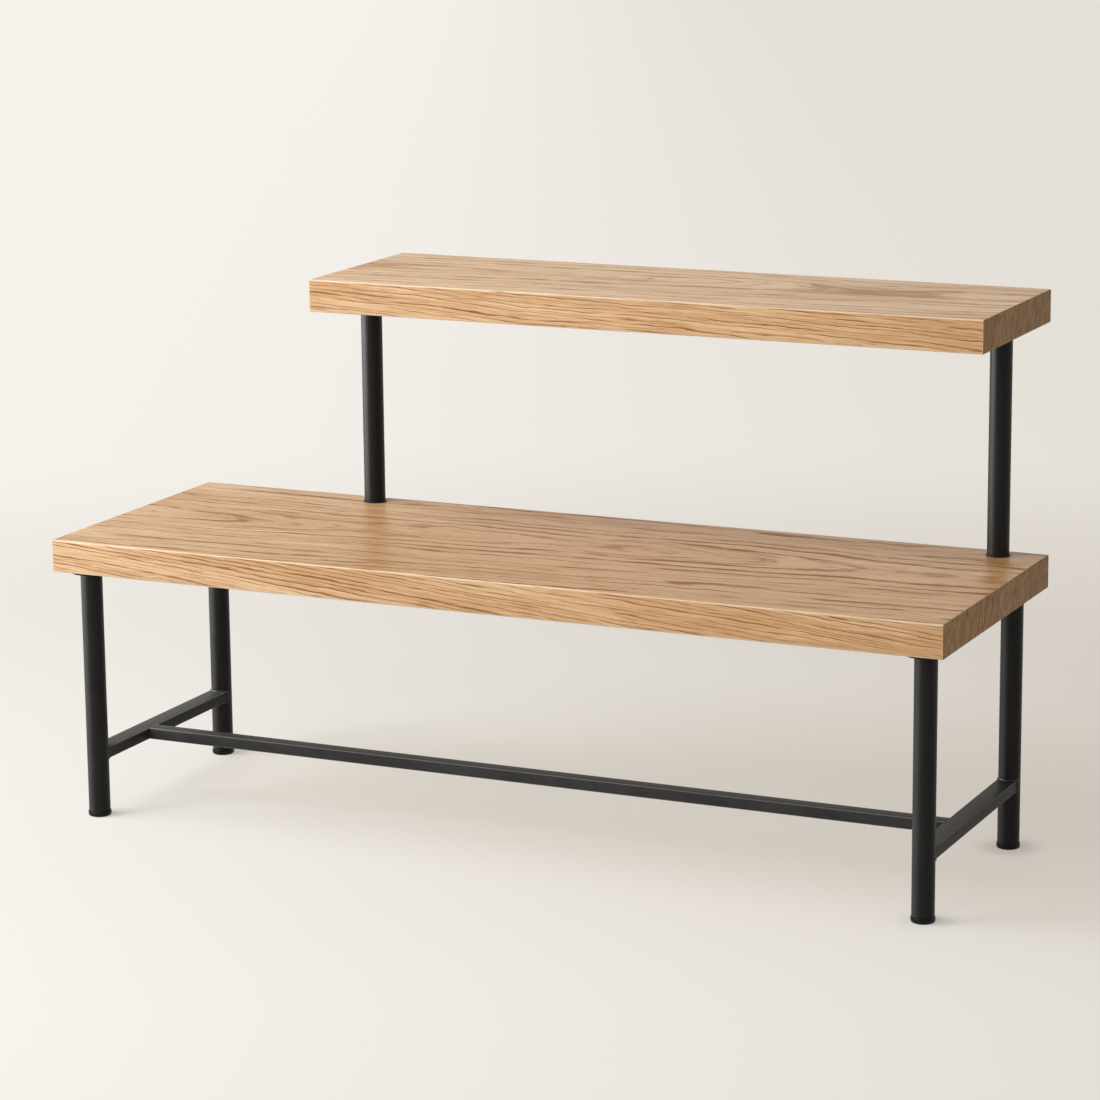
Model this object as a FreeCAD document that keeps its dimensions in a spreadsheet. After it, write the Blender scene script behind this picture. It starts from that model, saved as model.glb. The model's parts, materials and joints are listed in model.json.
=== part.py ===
import FreeCAD, Part
import os
import Sketcher
from FreeCAD import Vector

# Two-tier display table: two solid oak boards on a frame of round steel tube.
# The lower board lies on four legs, joined low down by two side rails and one
# long stretcher.  Two posts stand on the lower board near its back edge and
# carry the shorter upper board, which reaches out behind the lower one.
# Millimetres, +Z up, X along the boards, -Y towards the front.  The origin is
# on the floor, in the middle of the table's outer box.

os.makedirs("parts", exist_ok=True)
doc = FreeCAD.newDocument("TieredDisplayTable")
sheet = doc.addObject("Spreadsheet::Sheet", "sizes")

driving_sizes = {
    # boards
    "lowerLength": 1200,
    "lowerDepth": 400,
    "lowerThickness": 42,
    "lowerTopHeight": 372,
    "upperLength": 912,
    "upperDepth": 266,
    "upperThickness": 42,
    "upperTopHeight": 688,
    "upperStepRight": 36,        # right end of the lower board to right end of the upper one
    "boardEdgeRadius": 2,
    # legs and posts, one round tube
    "tubeDiameter": 28,
    "tubeWall": 2,
    "legInsetEnd": 34,           # leg axis to the board's end
    "legInsetEdge": 38,          # leg axis to the board's long edge
    "postInsetEnd": 21,          # post axis to the upper board's end
    "postInsetBack": 28,         # post axis to the lower board's back edge
    # side rails and stretcher, rectangular tubes lying flat, the rails the wider ones
    "railWidth": 25,
    "barWidth": 20,
    "barHeight": 15,
    "barWall": 1.5,
    "barCornerRadius": 1.2,
    "barAxisHeight": 83,
    "stretcherSetback": 158,     # stretcher axis to the lower board's front edge
    "weldGap": 0.1,
    # round plates on top of the legs
    "plateMargin": 9,            # plate rim to the board's end
    "plateThickness": 5,
    "plateScrewCount": 3,
    # flat bars on top of the posts, let into the upper board
    "cleatMargin": 6,            # cleat edge to the board's end
    "cleatLength": 180,
    "cleatThickness": 3,
    "cleatScrewCount": 4,
    "cleatScrewSpacing": 50,
    "recessClearance": 0.5,
    # countersunk wood screws
    "screwDiameter": 4.5,
    "screwHeadDiameter": 8.5,
    "screwHeadHeight": 2.2,
    "screwLength": 25,
    "screwTipLength": 6,
    "screwDriveDiameter": 3,
    "screwDriveDepth": 1.4,
    "screwHoleClearance": 0.1,   # all round the shank
    "holeEndClearance": 1,       # beyond the tip
    # post foot: washer, threaded plug and stud
    "washerDiameter": 31,
    "washerThickness": 2,
    "plugLength": 24,
    "plugClearance": 0.1,
    "studDiameter": 8,
    "studWoodLength": 30,
    "studThreadLength": 18,
    "studTipLength": 7,
    "studChamfer": 1,
    "studClearance": 0.1,
    # push-in foot caps
    "footDiameter": 30,
    "footHeight": 7,
    "footRound": 2.5,
    "footChamfer": 0.8,
    "footFloor": 3,
    "footPlugLength": 18,
    "footPlugWall": 2.5,
    "footRibCount": 3,
    "footRibHeight": 0.5,
    "footRibPitch": 5,
    "footRibClearance": 0.1,
    # stretcher end: welded block with a tongue that enters the side rail
    "blockLength": 30,
    "blockClearance": 0.1,
    "tongueWidth": 15,
    "tongueLength": 20,
    "tongueClearance": 0.2,
    # screw that holds the tongue, from below
    "lockDiameter": 5,
    "lockLength": 10,
    "lockHeadDiameter": 9.5,
    "lockHeadHeight": 2.6,
    "lockDriveDiameter": 3,
    "lockDriveDepth": 1.6,
    "lockClearance": 0.1,
    "lockWallClearance": 0.25,
}
for row, (alias, size) in enumerate(driving_sizes.items(), start=1):
    sheet.set(f"A{row}", alias)
    sheet.set(f"B{row}", str(size))
    sheet.setAlias(f"B{row}", alias)
doc.recompute()


def size_of(expression):
    """The present value of an expression, for a sketch's first guess and for counts."""
    value = sheet.evalExpression(expression)
    return float(getattr(value, "Value", value))


# Shared places and sizes, as expressions on the sheet.
HALF_DEPTH = "((sizes.lowerDepth - sizes.postInsetBack + sizes.upperDepth / 2) / 2)"
LOWER_Y = f"(sizes.lowerDepth / 2 - {HALF_DEPTH})"
LOWER_Z = "(sizes.lowerTopHeight - sizes.lowerThickness)"
UPPER_X = "(sizes.lowerLength / 2 - sizes.upperStepRight - sizes.upperLength / 2)"
UPPER_Y = f"(sizes.lowerDepth - sizes.postInsetBack - {HALF_DEPTH})"
UPPER_Z = "(sizes.upperTopHeight - sizes.upperThickness)"
LEG_X = "(sizes.lowerLength / 2 - sizes.legInsetEnd)"
LEG_Y = "(sizes.lowerDepth / 2 - sizes.legInsetEdge)"
LEG_TOP = f"({LOWER_Z} - sizes.plateThickness)"
POST_REACH = "(sizes.upperLength / 2 - sizes.postInsetEnd)"
POST_BACK = "(sizes.lowerDepth / 2 - sizes.postInsetBack)"
POST_FOOT = "(sizes.lowerTopHeight + sizes.washerThickness)"
STRETCHER_Y = "(sizes.stretcherSetback - sizes.lowerDepth / 2)"
TUBE_BORE = "(sizes.tubeDiameter - 2 * sizes.tubeWall)"
BAR_BORE_WIDTH = "(sizes.barWidth - 2 * sizes.barWall)"
RAIL_BORE_WIDTH = "(sizes.railWidth - 2 * sizes.barWall)"
BAR_BORE_HEIGHT = "(sizes.barHeight - 2 * sizes.barWall)"
STRETCHER_END = f"({LEG_X} - sizes.railWidth / 2)"
PLATE_DIAMETER = "(2 * (sizes.legInsetEnd - sizes.plateMargin))"
PLATE_SCREW_RADIUS = f"(({PLATE_DIAMETER} + sizes.tubeDiameter) / 4)"
CLEAT_WIDTH = "(2 * (sizes.postInsetEnd - sizes.cleatMargin))"
CLEAT_SCREW_SPAN = "((sizes.cleatScrewCount - 1) * sizes.cleatScrewSpacing)"
SCREW_HOLE = "(sizes.screwDiameter + 2 * sizes.screwHoleClearance)"
PLATE_HOLE_DEPTH = "(sizes.screwLength - sizes.plateThickness + sizes.holeEndClearance)"
CLEAT_HOLE_DEPTH = "(sizes.screwLength - sizes.cleatThickness + sizes.holeEndClearance)"
STUD_HOLE = "(sizes.studDiameter + 2 * sizes.studClearance)"
STUD_HOLE_DEPTH = "(sizes.studWoodLength + sizes.holeEndClearance)"

sides = {"left": -1, "right": 1}
rows = {"front": -1, "rear": 1}


# ---------------------------------------------------------------- sketch helpers
def origin_plane(body, role):
    for feature in body.Origin.OriginFeatures:
        if feature.Role == role:
            return feature
    raise ValueError(f"no {role} in {body.Label}")


def new_body(label, x=None, y=None, z=None):
    body = doc.addObject("PartDesign::Body", label)
    body.Label = label
    for axis, expression in zip("xyz", (x, y, z)):
        if expression:
            body.setExpression(f"Placement.Base.{axis}", expression)
    return body


def new_sketch(body, name, plane="XY_Plane", shift=None):
    """A sketch on one of the body's own origin planes, shifted along its own X."""
    sketch = body.newObject("Sketcher::SketchObject", f"{body.Name}_{name}")
    sketch.AttachmentSupport = [(origin_plane(body, plane), "")]
    sketch.MapMode = "FlatFace"
    if shift:
        sketch.setExpression("AttachmentOffset.Base.x", shift)
    return sketch


def bind(sketch, kind, references, expression):
    index = sketch.addConstraint(Sketcher.Constraint(kind, *references, size_of(expression)))
    sketch.setExpression(f"Constraints[{index}]", expression)


def pin_point(sketch, geometry, point, x, y):
    """Ties a point to the sketch's origin, or to its axes where x or y is None."""
    if x is None:
        sketch.addConstraint(Sketcher.Constraint("PointOnObject", geometry, point, -2))
    else:
        bind(sketch, "DistanceX", (-1, 1, geometry, point), x)
    if y is None:
        sketch.addConstraint(Sketcher.Constraint("PointOnObject", geometry, point, -1))
    else:
        bind(sketch, "DistanceY", (-1, 1, geometry, point), y)


def add_circle(sketch, diameter, x=None, y=None):
    centre = Vector(size_of(x) if x else 0, size_of(y) if y else 0, 0)
    circle = Part.Circle(centre, Vector(0, 0, 1), size_of(diameter) / 2)
    geometry = sketch.addGeometry(circle)
    bind(sketch, "Diameter", (geometry,), diameter)
    pin_point(sketch, geometry, 3, x, y)


def add_polygon(sketch, corners):
    """A closed outline; each corner is a pair of expressions, None for zero."""
    points = [Vector(size_of(x) if x else 0, size_of(y) if y else 0, 0) for x, y in corners]
    count = len(points)
    lines = []
    for index in range(count):
        segment = Part.LineSegment(points[index], points[(index + 1) % count])
        lines.append(sketch.addGeometry(segment))
    for index in range(count):
        following = lines[(index + 1) % count]
        sketch.addConstraint(Sketcher.Constraint("Coincident", lines[index], 2, following, 1))
    for line, (x, y) in zip(lines, corners):
        pin_point(sketch, line, 1, x, y)


def add_rectangle(sketch, width, height, x="0", y="0"):
    left = f"({x} - {width} / 2)"
    right = f"({x} + {width} / 2)"
    low = f"({y} - {height} / 2)"
    high = f"({y} + {height} / 2)"
    add_polygon(sketch, [(left, low), (right, low), (right, high), (left, high)])


# --------------------------------------------------------------- feature helpers
def add_pad(body, sketch, length, symmetric=False):
    pad = body.newObject("PartDesign::Pad", f"{sketch.Name}_pad")
    pad.Profile = sketch
    pad.setExpression("Length", length)
    pad.Midplane = symmetric
    doc.recompute()
    return pad


def add_pocket(body, sketch, length, symmetric=False, forward=False):
    """Cuts against the sketch's normal, or along it if forward, and checks that it cut."""
    before = body.Shape.Volume
    pocket = body.newObject("PartDesign::Pocket", f"{sketch.Name}_pocket")
    pocket.Profile = sketch
    pocket.setExpression("Length", length)
    pocket.Midplane = symmetric
    pocket.Reversed = forward
    doc.recompute()
    if body.Shape.Volume >= before:
        raise RuntimeError(f"{pocket.Name} removes nothing")
    return pocket


def add_turned(body, sketch, kind="PartDesign::Revolution"):
    """Turns the sketch a full circle about its own vertical axis."""
    turned = body.newObject(kind, f"{sketch.Name}_turned")
    turned.Profile = sketch
    turned.ReferenceAxis = (sketch, ["V_Axis"])
    turned.Angle = 360
    doc.recompute()
    return turned


def add_polar(body, feature, count):
    pattern = body.newObject("PartDesign::PolarPattern", f"{feature.Name}_ring")
    pattern.Originals = [feature]
    pattern.Axis = (origin_plane(body, "Z_Axis"), [""])
    pattern.Angle = 360
    pattern.setExpression("Occurrences", count)
    body.Tip = pattern
    doc.recompute()
    return pattern


def add_row(body, feature, span, count):
    pattern = body.newObject("PartDesign::LinearPattern", f"{feature.Name}_row")
    pattern.Originals = [feature]
    pattern.Direction = (origin_plane(body, "Y_Axis"), [""])
    pattern.setExpression("Length", span)
    pattern.setExpression("Occurrences", count)
    body.Tip = pattern
    doc.recompute()
    return pattern


def add_fillet(body, radius, wanted):
    """A fillet on the edges of the body's tip that the test picks."""
    names = []
    for number, edge in enumerate(body.Shape.Edges, start=1):
        if wanted(edge):
            names.append(f"Edge{number}")
    if not names:
        raise RuntimeError(f"no edges found on {body.Label}")
    base = body.Tip
    fillet = body.newObject("PartDesign::Fillet", f"{body.Name}_fillet")
    fillet.Base = (base, names)
    fillet.setExpression("Radius", radius)
    doc.recompute()
    return fillet


def is_straight_along(edge, axis):
    first, last = edge.Vertexes[0].Point, edge.Vertexes[-1].Point
    along = (last - first).normalize()
    return isinstance(edge.Curve, Part.Line) and abs(along.dot(axis)) > 0.999


def screw_ring(side):
    """Places of one leg plate's screws round the leg axis, the first towards the board's end."""
    count = int(size_of("sizes.plateScrewCount"))
    start = 0 if side > 0 else 180
    for index in range(count):
        angle = start + 360 * index / count
        yield (f"({PLATE_SCREW_RADIUS} * cos({angle}))", f"({PLATE_SCREW_RADIUS} * sin({angle}))")


# ------------------------------------------------------------------------ boards
def ease_all_edges(body):
    add_fillet(body, "sizes.boardEdgeRadius", lambda edge: True)


def make_lower_board():
    """Oak board with blind screw holes over the legs and blind stud holes under the posts."""
    body = new_body("lower_board", y=LOWER_Y, z=LOWER_Z)
    outline = new_sketch(body, "outline")
    add_rectangle(outline, "sizes.lowerLength", "sizes.lowerDepth")
    add_pad(body, outline, "sizes.lowerThickness")
    ease_all_edges(body)
    screw_holes = new_sketch(body, "screw_holes")
    for side in sides.values():
        for row in rows.values():
            for x, y in screw_ring(side):
                add_circle(screw_holes, SCREW_HOLE, f"({side} * {LEG_X} + {x})", f"({row} * {LEG_Y} + {y})")
    add_pocket(body, screw_holes, PLATE_HOLE_DEPTH, forward=True)
    stud_holes = new_sketch(body, "stud_holes")
    stud_holes.setExpression("AttachmentOffset.Base.z", "sizes.lowerThickness")
    for side in sides.values():
        add_circle(stud_holes, STUD_HOLE, f"({UPPER_X} + {side} * {POST_REACH})", POST_BACK)
    add_pocket(body, stud_holes, STUD_HOLE_DEPTH)
    return body


def make_upper_board():
    """Oak board with a flush recess over each post for its cleat, and blind screw holes."""
    body = new_body("upper_board", x=UPPER_X, y=UPPER_Y, z=UPPER_Z)
    outline = new_sketch(body, "outline")
    add_rectangle(outline, "sizes.upperLength", "sizes.upperDepth")
    add_pad(body, outline, "sizes.upperThickness")
    ease_all_edges(body)
    recesses = new_sketch(body, "recesses")
    recess_width = f"({CLEAT_WIDTH} + 2 * sizes.recessClearance)"
    recess_length = "(sizes.cleatLength + 2 * sizes.recessClearance)"
    for side in sides.values():
        add_rectangle(recesses, recess_width, recess_length, x=f"({side} * {POST_REACH})")
    add_pocket(body, recesses, "sizes.cleatThickness", forward=True)
    screw_holes = new_sketch(body, "screw_holes")
    for side in sides.values():
        for index in range(int(size_of("sizes.cleatScrewCount"))):
            y = f"({index} * sizes.cleatScrewSpacing - {CLEAT_SCREW_SPAN} / 2)"
            add_circle(screw_holes, SCREW_HOLE, f"({side} * {POST_REACH})", y)
    add_pocket(body, screw_holes, f"({CLEAT_HOLE_DEPTH} + sizes.cleatThickness)", forward=True)
    return body


# ----------------------------------------------------------- round tubes and caps
def make_tube(label, x, y, z, length):
    body = new_body(label, x=x, y=y, z=z)
    section = new_sketch(body, "section")
    add_circle(section, "sizes.tubeDiameter")
    add_circle(section, TUBE_BORE)
    add_pad(body, section, length)
    return body


def make_foot_cap(label, x, y):
    """Plastic cap: a rounded foot wider than the tube and a ribbed hollow plug inside it."""
    body = new_body(label, x=x, y=y)
    profile = new_sketch(body, "profile", "XZ_Plane")
    rib = f"({TUBE_BORE} / 2 - sizes.footRibClearance)"
    plug = f"({rib} - sizes.footRibHeight)"
    bore = f"({plug} - sizes.footPlugWall)"
    outer = "(sizes.footDiameter / 2)"
    top = "(sizes.footHeight + sizes.footPlugLength)"
    corners = [
        (None, None),
        (outer, None),
        (outer, "(sizes.footHeight - sizes.footChamfer)"),
        (f"({outer} - sizes.footChamfer)", "sizes.footHeight"),
        (plug, "sizes.footHeight"),
    ]
    for index in range(int(size_of("sizes.footRibCount"))):
        start = f"(sizes.footHeight + {index + 0.5} * sizes.footRibPitch)"
        corners.append((plug, start))
        corners.append((rib, f"({start} + sizes.footRibHeight)"))
        corners.append((rib, f"({start} + 3 * sizes.footRibHeight)"))
        corners.append((plug, f"({start} + 4 * sizes.footRibHeight)"))
    corners.append((plug, top))
    corners.append((bore, top))
    corners.append((bore, "sizes.footFloor"))
    corners.append((None, "sizes.footFloor"))
    add_polygon(profile, corners)
    add_turned(body, profile)
    rim = size_of(outer)
    add_fillet(
        body,
        "sizes.footRound",
        lambda edge: abs(edge.BoundBox.ZMax) < 1e-6 and abs(edge.BoundBox.XMax - size_of(x) - rim) < 1e-3,
    )
    return body


# ------------------------------------------------------------------- rail frame
def round_long_corners(body, axis, centre):
    """Rounds the outer long edges of a rectangular tube that runs along the axis."""
    reach = size_of("sizes.barHeight") / 2

    def is_outer(edge):
        if not is_straight_along(edge, axis):
            return False
        return abs(abs(edge.CenterOfMass.z - centre) - reach) < 1e-3

    add_fillet(body, "sizes.barCornerRadius", is_outer)


def make_side_rail(label, side):
    """Rectangular tube coped to the two legs, with a slot for the stretcher's tongue."""
    body = new_body(label, x=f"({side} * {LEG_X})", y=LOWER_Y, z="sizes.barAxisHeight")
    section = new_sketch(body, "section", "XZ_Plane")
    add_rectangle(section, "sizes.railWidth", "sizes.barHeight")
    add_rectangle(section, RAIL_BORE_WIDTH, BAR_BORE_HEIGHT)
    add_pad(body, section, f"(2 * {LEG_Y})", symmetric=True)
    round_long_corners(body, Vector(0, 1, 0), size_of("sizes.barAxisHeight"))
    cope = new_sketch(body, "cope")
    for row in rows.values():
        add_circle(cope, "(sizes.tubeDiameter + 2 * sizes.weldGap)", None, f"({row} * {LEG_Y})")
    add_pocket(body, cope, "(2 * sizes.barHeight)", symmetric=True)
    slot = new_sketch(body, "tongue_slot", "YZ_Plane")
    slot_width = "(sizes.tongueWidth + 2 * sizes.tongueClearance)"
    add_rectangle(slot, slot_width, BAR_BORE_HEIGHT, x=STRETCHER_Y)
    add_pocket(body, slot, "sizes.railWidth", forward=side < 0)
    lock_hole = new_sketch(body, "lock_hole")
    hole = "(sizes.lockDiameter + 2 * sizes.lockWallClearance)"
    add_circle(lock_hole, hole, None, STRETCHER_Y)
    add_pocket(body, lock_hole, "sizes.barHeight")
    return body


def make_stretcher():
    body = new_body("long_stretcher", y=f"({LOWER_Y} + {STRETCHER_Y})", z="sizes.barAxisHeight")
    section = new_sketch(body, "section", "YZ_Plane")
    add_rectangle(section, "sizes.barWidth", "sizes.barHeight")
    add_rectangle(section, BAR_BORE_WIDTH, BAR_BORE_HEIGHT)
    add_pad(body, section, f"(2 * {STRETCHER_END})", symmetric=True)
    round_long_corners(body, Vector(1, 0, 0), size_of("sizes.barAxisHeight"))
    return body


def make_stretcher_tongue(label, side):
    """Solid block inside the stretcher's end; its tongue fills the slotted rail."""
    y = f"({LOWER_Y} + {STRETCHER_Y})"
    body = new_body(label, x=f"({side} * {STRETCHER_END})", y=y, z="sizes.barAxisHeight")
    inside = new_sketch(body, "block", "YZ_Plane")
    block_width = f"({BAR_BORE_WIDTH} - 2 * sizes.blockClearance)"
    block_height = f"({BAR_BORE_HEIGHT} - 2 * sizes.blockClearance)"
    add_rectangle(inside, block_width, block_height)
    block = add_pad(body, inside, "sizes.blockLength")
    block.Reversed = side > 0
    tongue = new_sketch(body, "tongue", "YZ_Plane")
    tongue_height = f"({BAR_BORE_HEIGHT} - 2 * sizes.tongueClearance)"
    add_rectangle(tongue, "sizes.tongueWidth", tongue_height)
    reach = add_pad(body, tongue, "sizes.tongueLength")
    reach.Reversed = side < 0
    doc.recompute()
    thread = new_sketch(body, "thread")
    thread_hole = "(sizes.lockDiameter + 2 * sizes.lockClearance)"
    add_circle(thread, thread_hole, f"({side} * sizes.railWidth / 2)", None)
    add_pocket(body, thread, "(2 * sizes.barHeight)", symmetric=True)
    return body


def make_lock_screw(label, side):
    """Button-head screw up through the rail's bottom wall into the tongue."""
    y = f"({LOWER_Y} + {STRETCHER_Y})"
    z = "(sizes.barAxisHeight - sizes.barHeight / 2)"
    body = new_body(label, x=f"({side} * {LEG_X})", y=y, z=z)
    profile = new_sketch(body, "profile", "XZ_Plane")
    corners = [
        (None, "(sizes.lockDriveDepth - sizes.lockHeadHeight)"),
        ("(sizes.lockDriveDiameter / 2)", "(sizes.lockDriveDepth - sizes.lockHeadHeight)"),
        ("(sizes.lockDriveDiameter / 2)", "(-sizes.lockHeadHeight)"),
        ("(sizes.lockHeadDiameter / 3)", "(-sizes.lockHeadHeight)"),
        ("(sizes.lockHeadDiameter / 2)", "(-sizes.lockHeadHeight / 3)"),
        ("(sizes.lockHeadDiameter / 2)", None),
        ("(sizes.lockDiameter / 2)", None),
        ("(sizes.lockDiameter / 2)", "sizes.lockLength"),
        (None, "sizes.lockLength"),
    ]
    add_polygon(profile, corners)
    add_turned(body, profile)
    return body


# --------------------------------------------------------- plates, cleats, screws
def countersink_profile(sketch, thickness):
    """The hole of a countersunk wood screw through a plate, wide at the underside."""
    gap = "sizes.screwHoleClearance"
    head = f"(sizes.screwHeadDiameter / 2 + {gap})"
    shank = f"({SCREW_HOLE} / 2)"
    corners = [
        (None, None),
        (head, None),
        (shank, "sizes.screwHeadHeight"),
        (shank, thickness),
        (None, thickness),
    ]
    add_polygon(sketch, corners)


def wood_screw_profile(sketch):
    """A countersunk screw pointing up, its flat head at zero with a blind drive recess."""
    corners = [
        (None, "sizes.screwDriveDepth"),
        ("(sizes.screwDriveDiameter / 2)", "(sizes.screwDriveDepth / 2)"),
        ("(sizes.screwDriveDiameter / 2)", None),
        ("(sizes.screwHeadDiameter / 2)", None),
        ("(sizes.screwDiameter / 2)", "sizes.screwHeadHeight"),
        ("(sizes.screwDiameter / 2)", "(sizes.screwLength - sizes.screwTipLength)"),
        (None, "sizes.screwLength"),
    ]
    add_polygon(sketch, corners)


def make_leg_plate(label, side, x, y):
    body = new_body(label, x=x, y=y, z=LEG_TOP)
    disc = new_sketch(body, "disc")
    add_circle(disc, PLATE_DIAMETER)
    add_pad(body, disc, "sizes.plateThickness")
    hole = new_sketch(body, "hole", "XZ_Plane", shift=f"({side} * {PLATE_SCREW_RADIUS})")
    countersink_profile(hole, "sizes.plateThickness")
    cut = add_turned(body, hole, "PartDesign::Groove")
    add_polar(body, cut, "sizes.plateScrewCount")
    return body


def make_plate_screws(label, side, x, y):
    """The wood screws of one leg plate, as separate solids."""
    body = new_body(label, x=x, y=y, z=LEG_TOP)
    body.AllowCompound = True
    profile = new_sketch(body, "profile", "XZ_Plane", shift=f"({side} * {PLATE_SCREW_RADIUS})")
    wood_screw_profile(profile)
    screw = add_turned(body, profile)
    add_polar(body, screw, "sizes.plateScrewCount")
    return body


def make_cleat(label, x):
    """Flat bar welded across a post's top, let flush into the upper board."""
    body = new_body(label, x=x, y=UPPER_Y, z=UPPER_Z)
    outline = new_sketch(body, "outline")
    add_rectangle(outline, CLEAT_WIDTH, "sizes.cleatLength")
    add_pad(body, outline, "sizes.cleatThickness")
    hole = new_sketch(body, "hole", "XZ_Plane")
    hole.setExpression("AttachmentOffset.Base.z", f"({CLEAT_SCREW_SPAN} / 2)")
    countersink_profile(hole, "sizes.cleatThickness")
    cut = add_turned(body, hole, "PartDesign::Groove")
    add_row(body, cut, CLEAT_SCREW_SPAN, "sizes.cleatScrewCount")
    return body


def make_cleat_screws(label, x):
    """The wood screws of one cleat, as separate solids."""
    body = new_body(label, x=x, y=UPPER_Y, z=UPPER_Z)
    body.AllowCompound = True
    profile = new_sketch(body, "profile", "XZ_Plane")
    profile.setExpression("AttachmentOffset.Base.z", f"({CLEAT_SCREW_SPAN} / 2)")
    wood_screw_profile(profile)
    screw = add_turned(body, profile)
    add_row(body, screw, CLEAT_SCREW_SPAN, "sizes.cleatScrewCount")
    return body


# ------------------------------------------------------------------- post foot
def make_washer(label, x):
    body = new_body(label, x=x, y=UPPER_Y, z="sizes.lowerTopHeight")
    ring = new_sketch(body, "ring")
    add_circle(ring, "sizes.washerDiameter")
    add_circle(ring, STUD_HOLE)
    add_pad(body, ring, "sizes.washerThickness")
    return body


def make_post_plug(label, x):
    """Threaded plug welded into the foot of a post."""
    body = new_body(label, x=x, y=UPPER_Y, z=POST_FOOT)
    ring = new_sketch(body, "ring")
    add_circle(ring, f"({TUBE_BORE} - 2 * sizes.plugClearance)")
    add_circle(ring, STUD_HOLE)
    add_pad(body, ring, "sizes.plugLength")
    return body


def make_post_stud(label, x):
    """Double-ended stud: wood thread with a point below, machine thread in the plug above."""
    body = new_body(label, x=x, y=UPPER_Y, z="sizes.lowerTopHeight")
    profile = new_sketch(body, "profile", "XZ_Plane")
    radius = "(sizes.studDiameter / 2)"
    top = "(sizes.washerThickness + sizes.studThreadLength)"
    corners = [
        (None, "(-sizes.studWoodLength)"),
        (radius, "(sizes.studTipLength - sizes.studWoodLength)"),
        (radius, f"({top} - sizes.studChamfer)"),
        (f"({radius} - sizes.studChamfer)", top),
        (None, top),
    ]
    add_polygon(profile, corners)
    add_turned(body, profile)
    return body


# ------------------------------------------------------------------ the assembly
pieces = [make_lower_board(), make_upper_board(), make_stretcher()]

leg_length = f"({LEG_TOP} - sizes.footHeight)"
for side_name, side in sides.items():
    for row_name, row in rows.items():
        corner = f"{row_name}_{side_name}"
        leg_x = f"({side} * {LEG_X})"
        leg_y = f"({LOWER_Y} + {row} * {LEG_Y})"
        pieces.append(make_tube(f"{corner}_leg", leg_x, leg_y, "sizes.footHeight", leg_length))
        pieces.append(make_foot_cap(f"{corner}_foot_cap", leg_x, leg_y))
        pieces.append(make_leg_plate(f"{corner}_leg_plate", side, leg_x, leg_y))
        pieces.append(make_plate_screws(f"{corner}_plate_screws", side, leg_x, leg_y))
    pieces.append(make_side_rail(f"{side_name}_side_rail", side))
    pieces.append(make_stretcher_tongue(f"{side_name}_stretcher_tongue", side))
    pieces.append(make_lock_screw(f"{side_name}_tongue_screw", side))
    post_x = f"({UPPER_X} + {side} * {POST_REACH})"
    post_length = f"({UPPER_Z} - {POST_FOOT})"
    pieces.append(make_tube(f"{side_name}_post", post_x, UPPER_Y, POST_FOOT, post_length))
    pieces.append(make_washer(f"{side_name}_post_washer", post_x))
    pieces.append(make_post_plug(f"{side_name}_post_plug", post_x))
    pieces.append(make_post_stud(f"{side_name}_post_stud", post_x))
    pieces.append(make_cleat(f"{side_name}_post_cleat", post_x))
    pieces.append(make_cleat_screws(f"{side_name}_cleat_screws", post_x))

doc.recompute()
for item in doc.Objects:
    if "Invalid" in item.State or "Error" in item.State:
        raise RuntimeError(f"{item.Label} failed: {item.State}")
for piece in pieces:
    if piece.Shape.isNull() or not piece.Shape.isValid():
        raise RuntimeError(f"{piece.Label} has no valid shape")
for piece in pieces:
    piece.Shape.exportStep(f"parts/{piece.Label}.step")
    print(f"{piece.Label:28} solids {len(piece.Shape.Solids)}  volume {piece.Shape.Volume:12.1f} mm3")
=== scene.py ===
import json
import math

import bpy
import numpy as np
from mathutils import Matrix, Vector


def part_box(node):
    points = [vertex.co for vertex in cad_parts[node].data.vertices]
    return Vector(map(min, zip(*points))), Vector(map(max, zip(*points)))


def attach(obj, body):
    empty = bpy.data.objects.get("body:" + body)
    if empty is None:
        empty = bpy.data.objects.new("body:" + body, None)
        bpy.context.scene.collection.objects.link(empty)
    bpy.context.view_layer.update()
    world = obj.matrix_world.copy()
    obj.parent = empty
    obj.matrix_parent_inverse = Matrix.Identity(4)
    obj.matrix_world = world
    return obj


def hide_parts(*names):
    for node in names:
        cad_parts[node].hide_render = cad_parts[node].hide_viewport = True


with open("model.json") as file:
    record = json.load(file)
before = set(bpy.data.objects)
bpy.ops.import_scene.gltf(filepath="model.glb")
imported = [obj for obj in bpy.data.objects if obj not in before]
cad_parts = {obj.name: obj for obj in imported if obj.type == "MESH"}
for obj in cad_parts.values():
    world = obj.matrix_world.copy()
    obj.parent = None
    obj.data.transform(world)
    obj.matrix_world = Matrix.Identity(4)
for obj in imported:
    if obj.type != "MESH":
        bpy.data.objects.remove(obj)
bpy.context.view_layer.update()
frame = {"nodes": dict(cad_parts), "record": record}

sides = ("left", "right")
rows = {"front": -1, "rear": 1}


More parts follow.
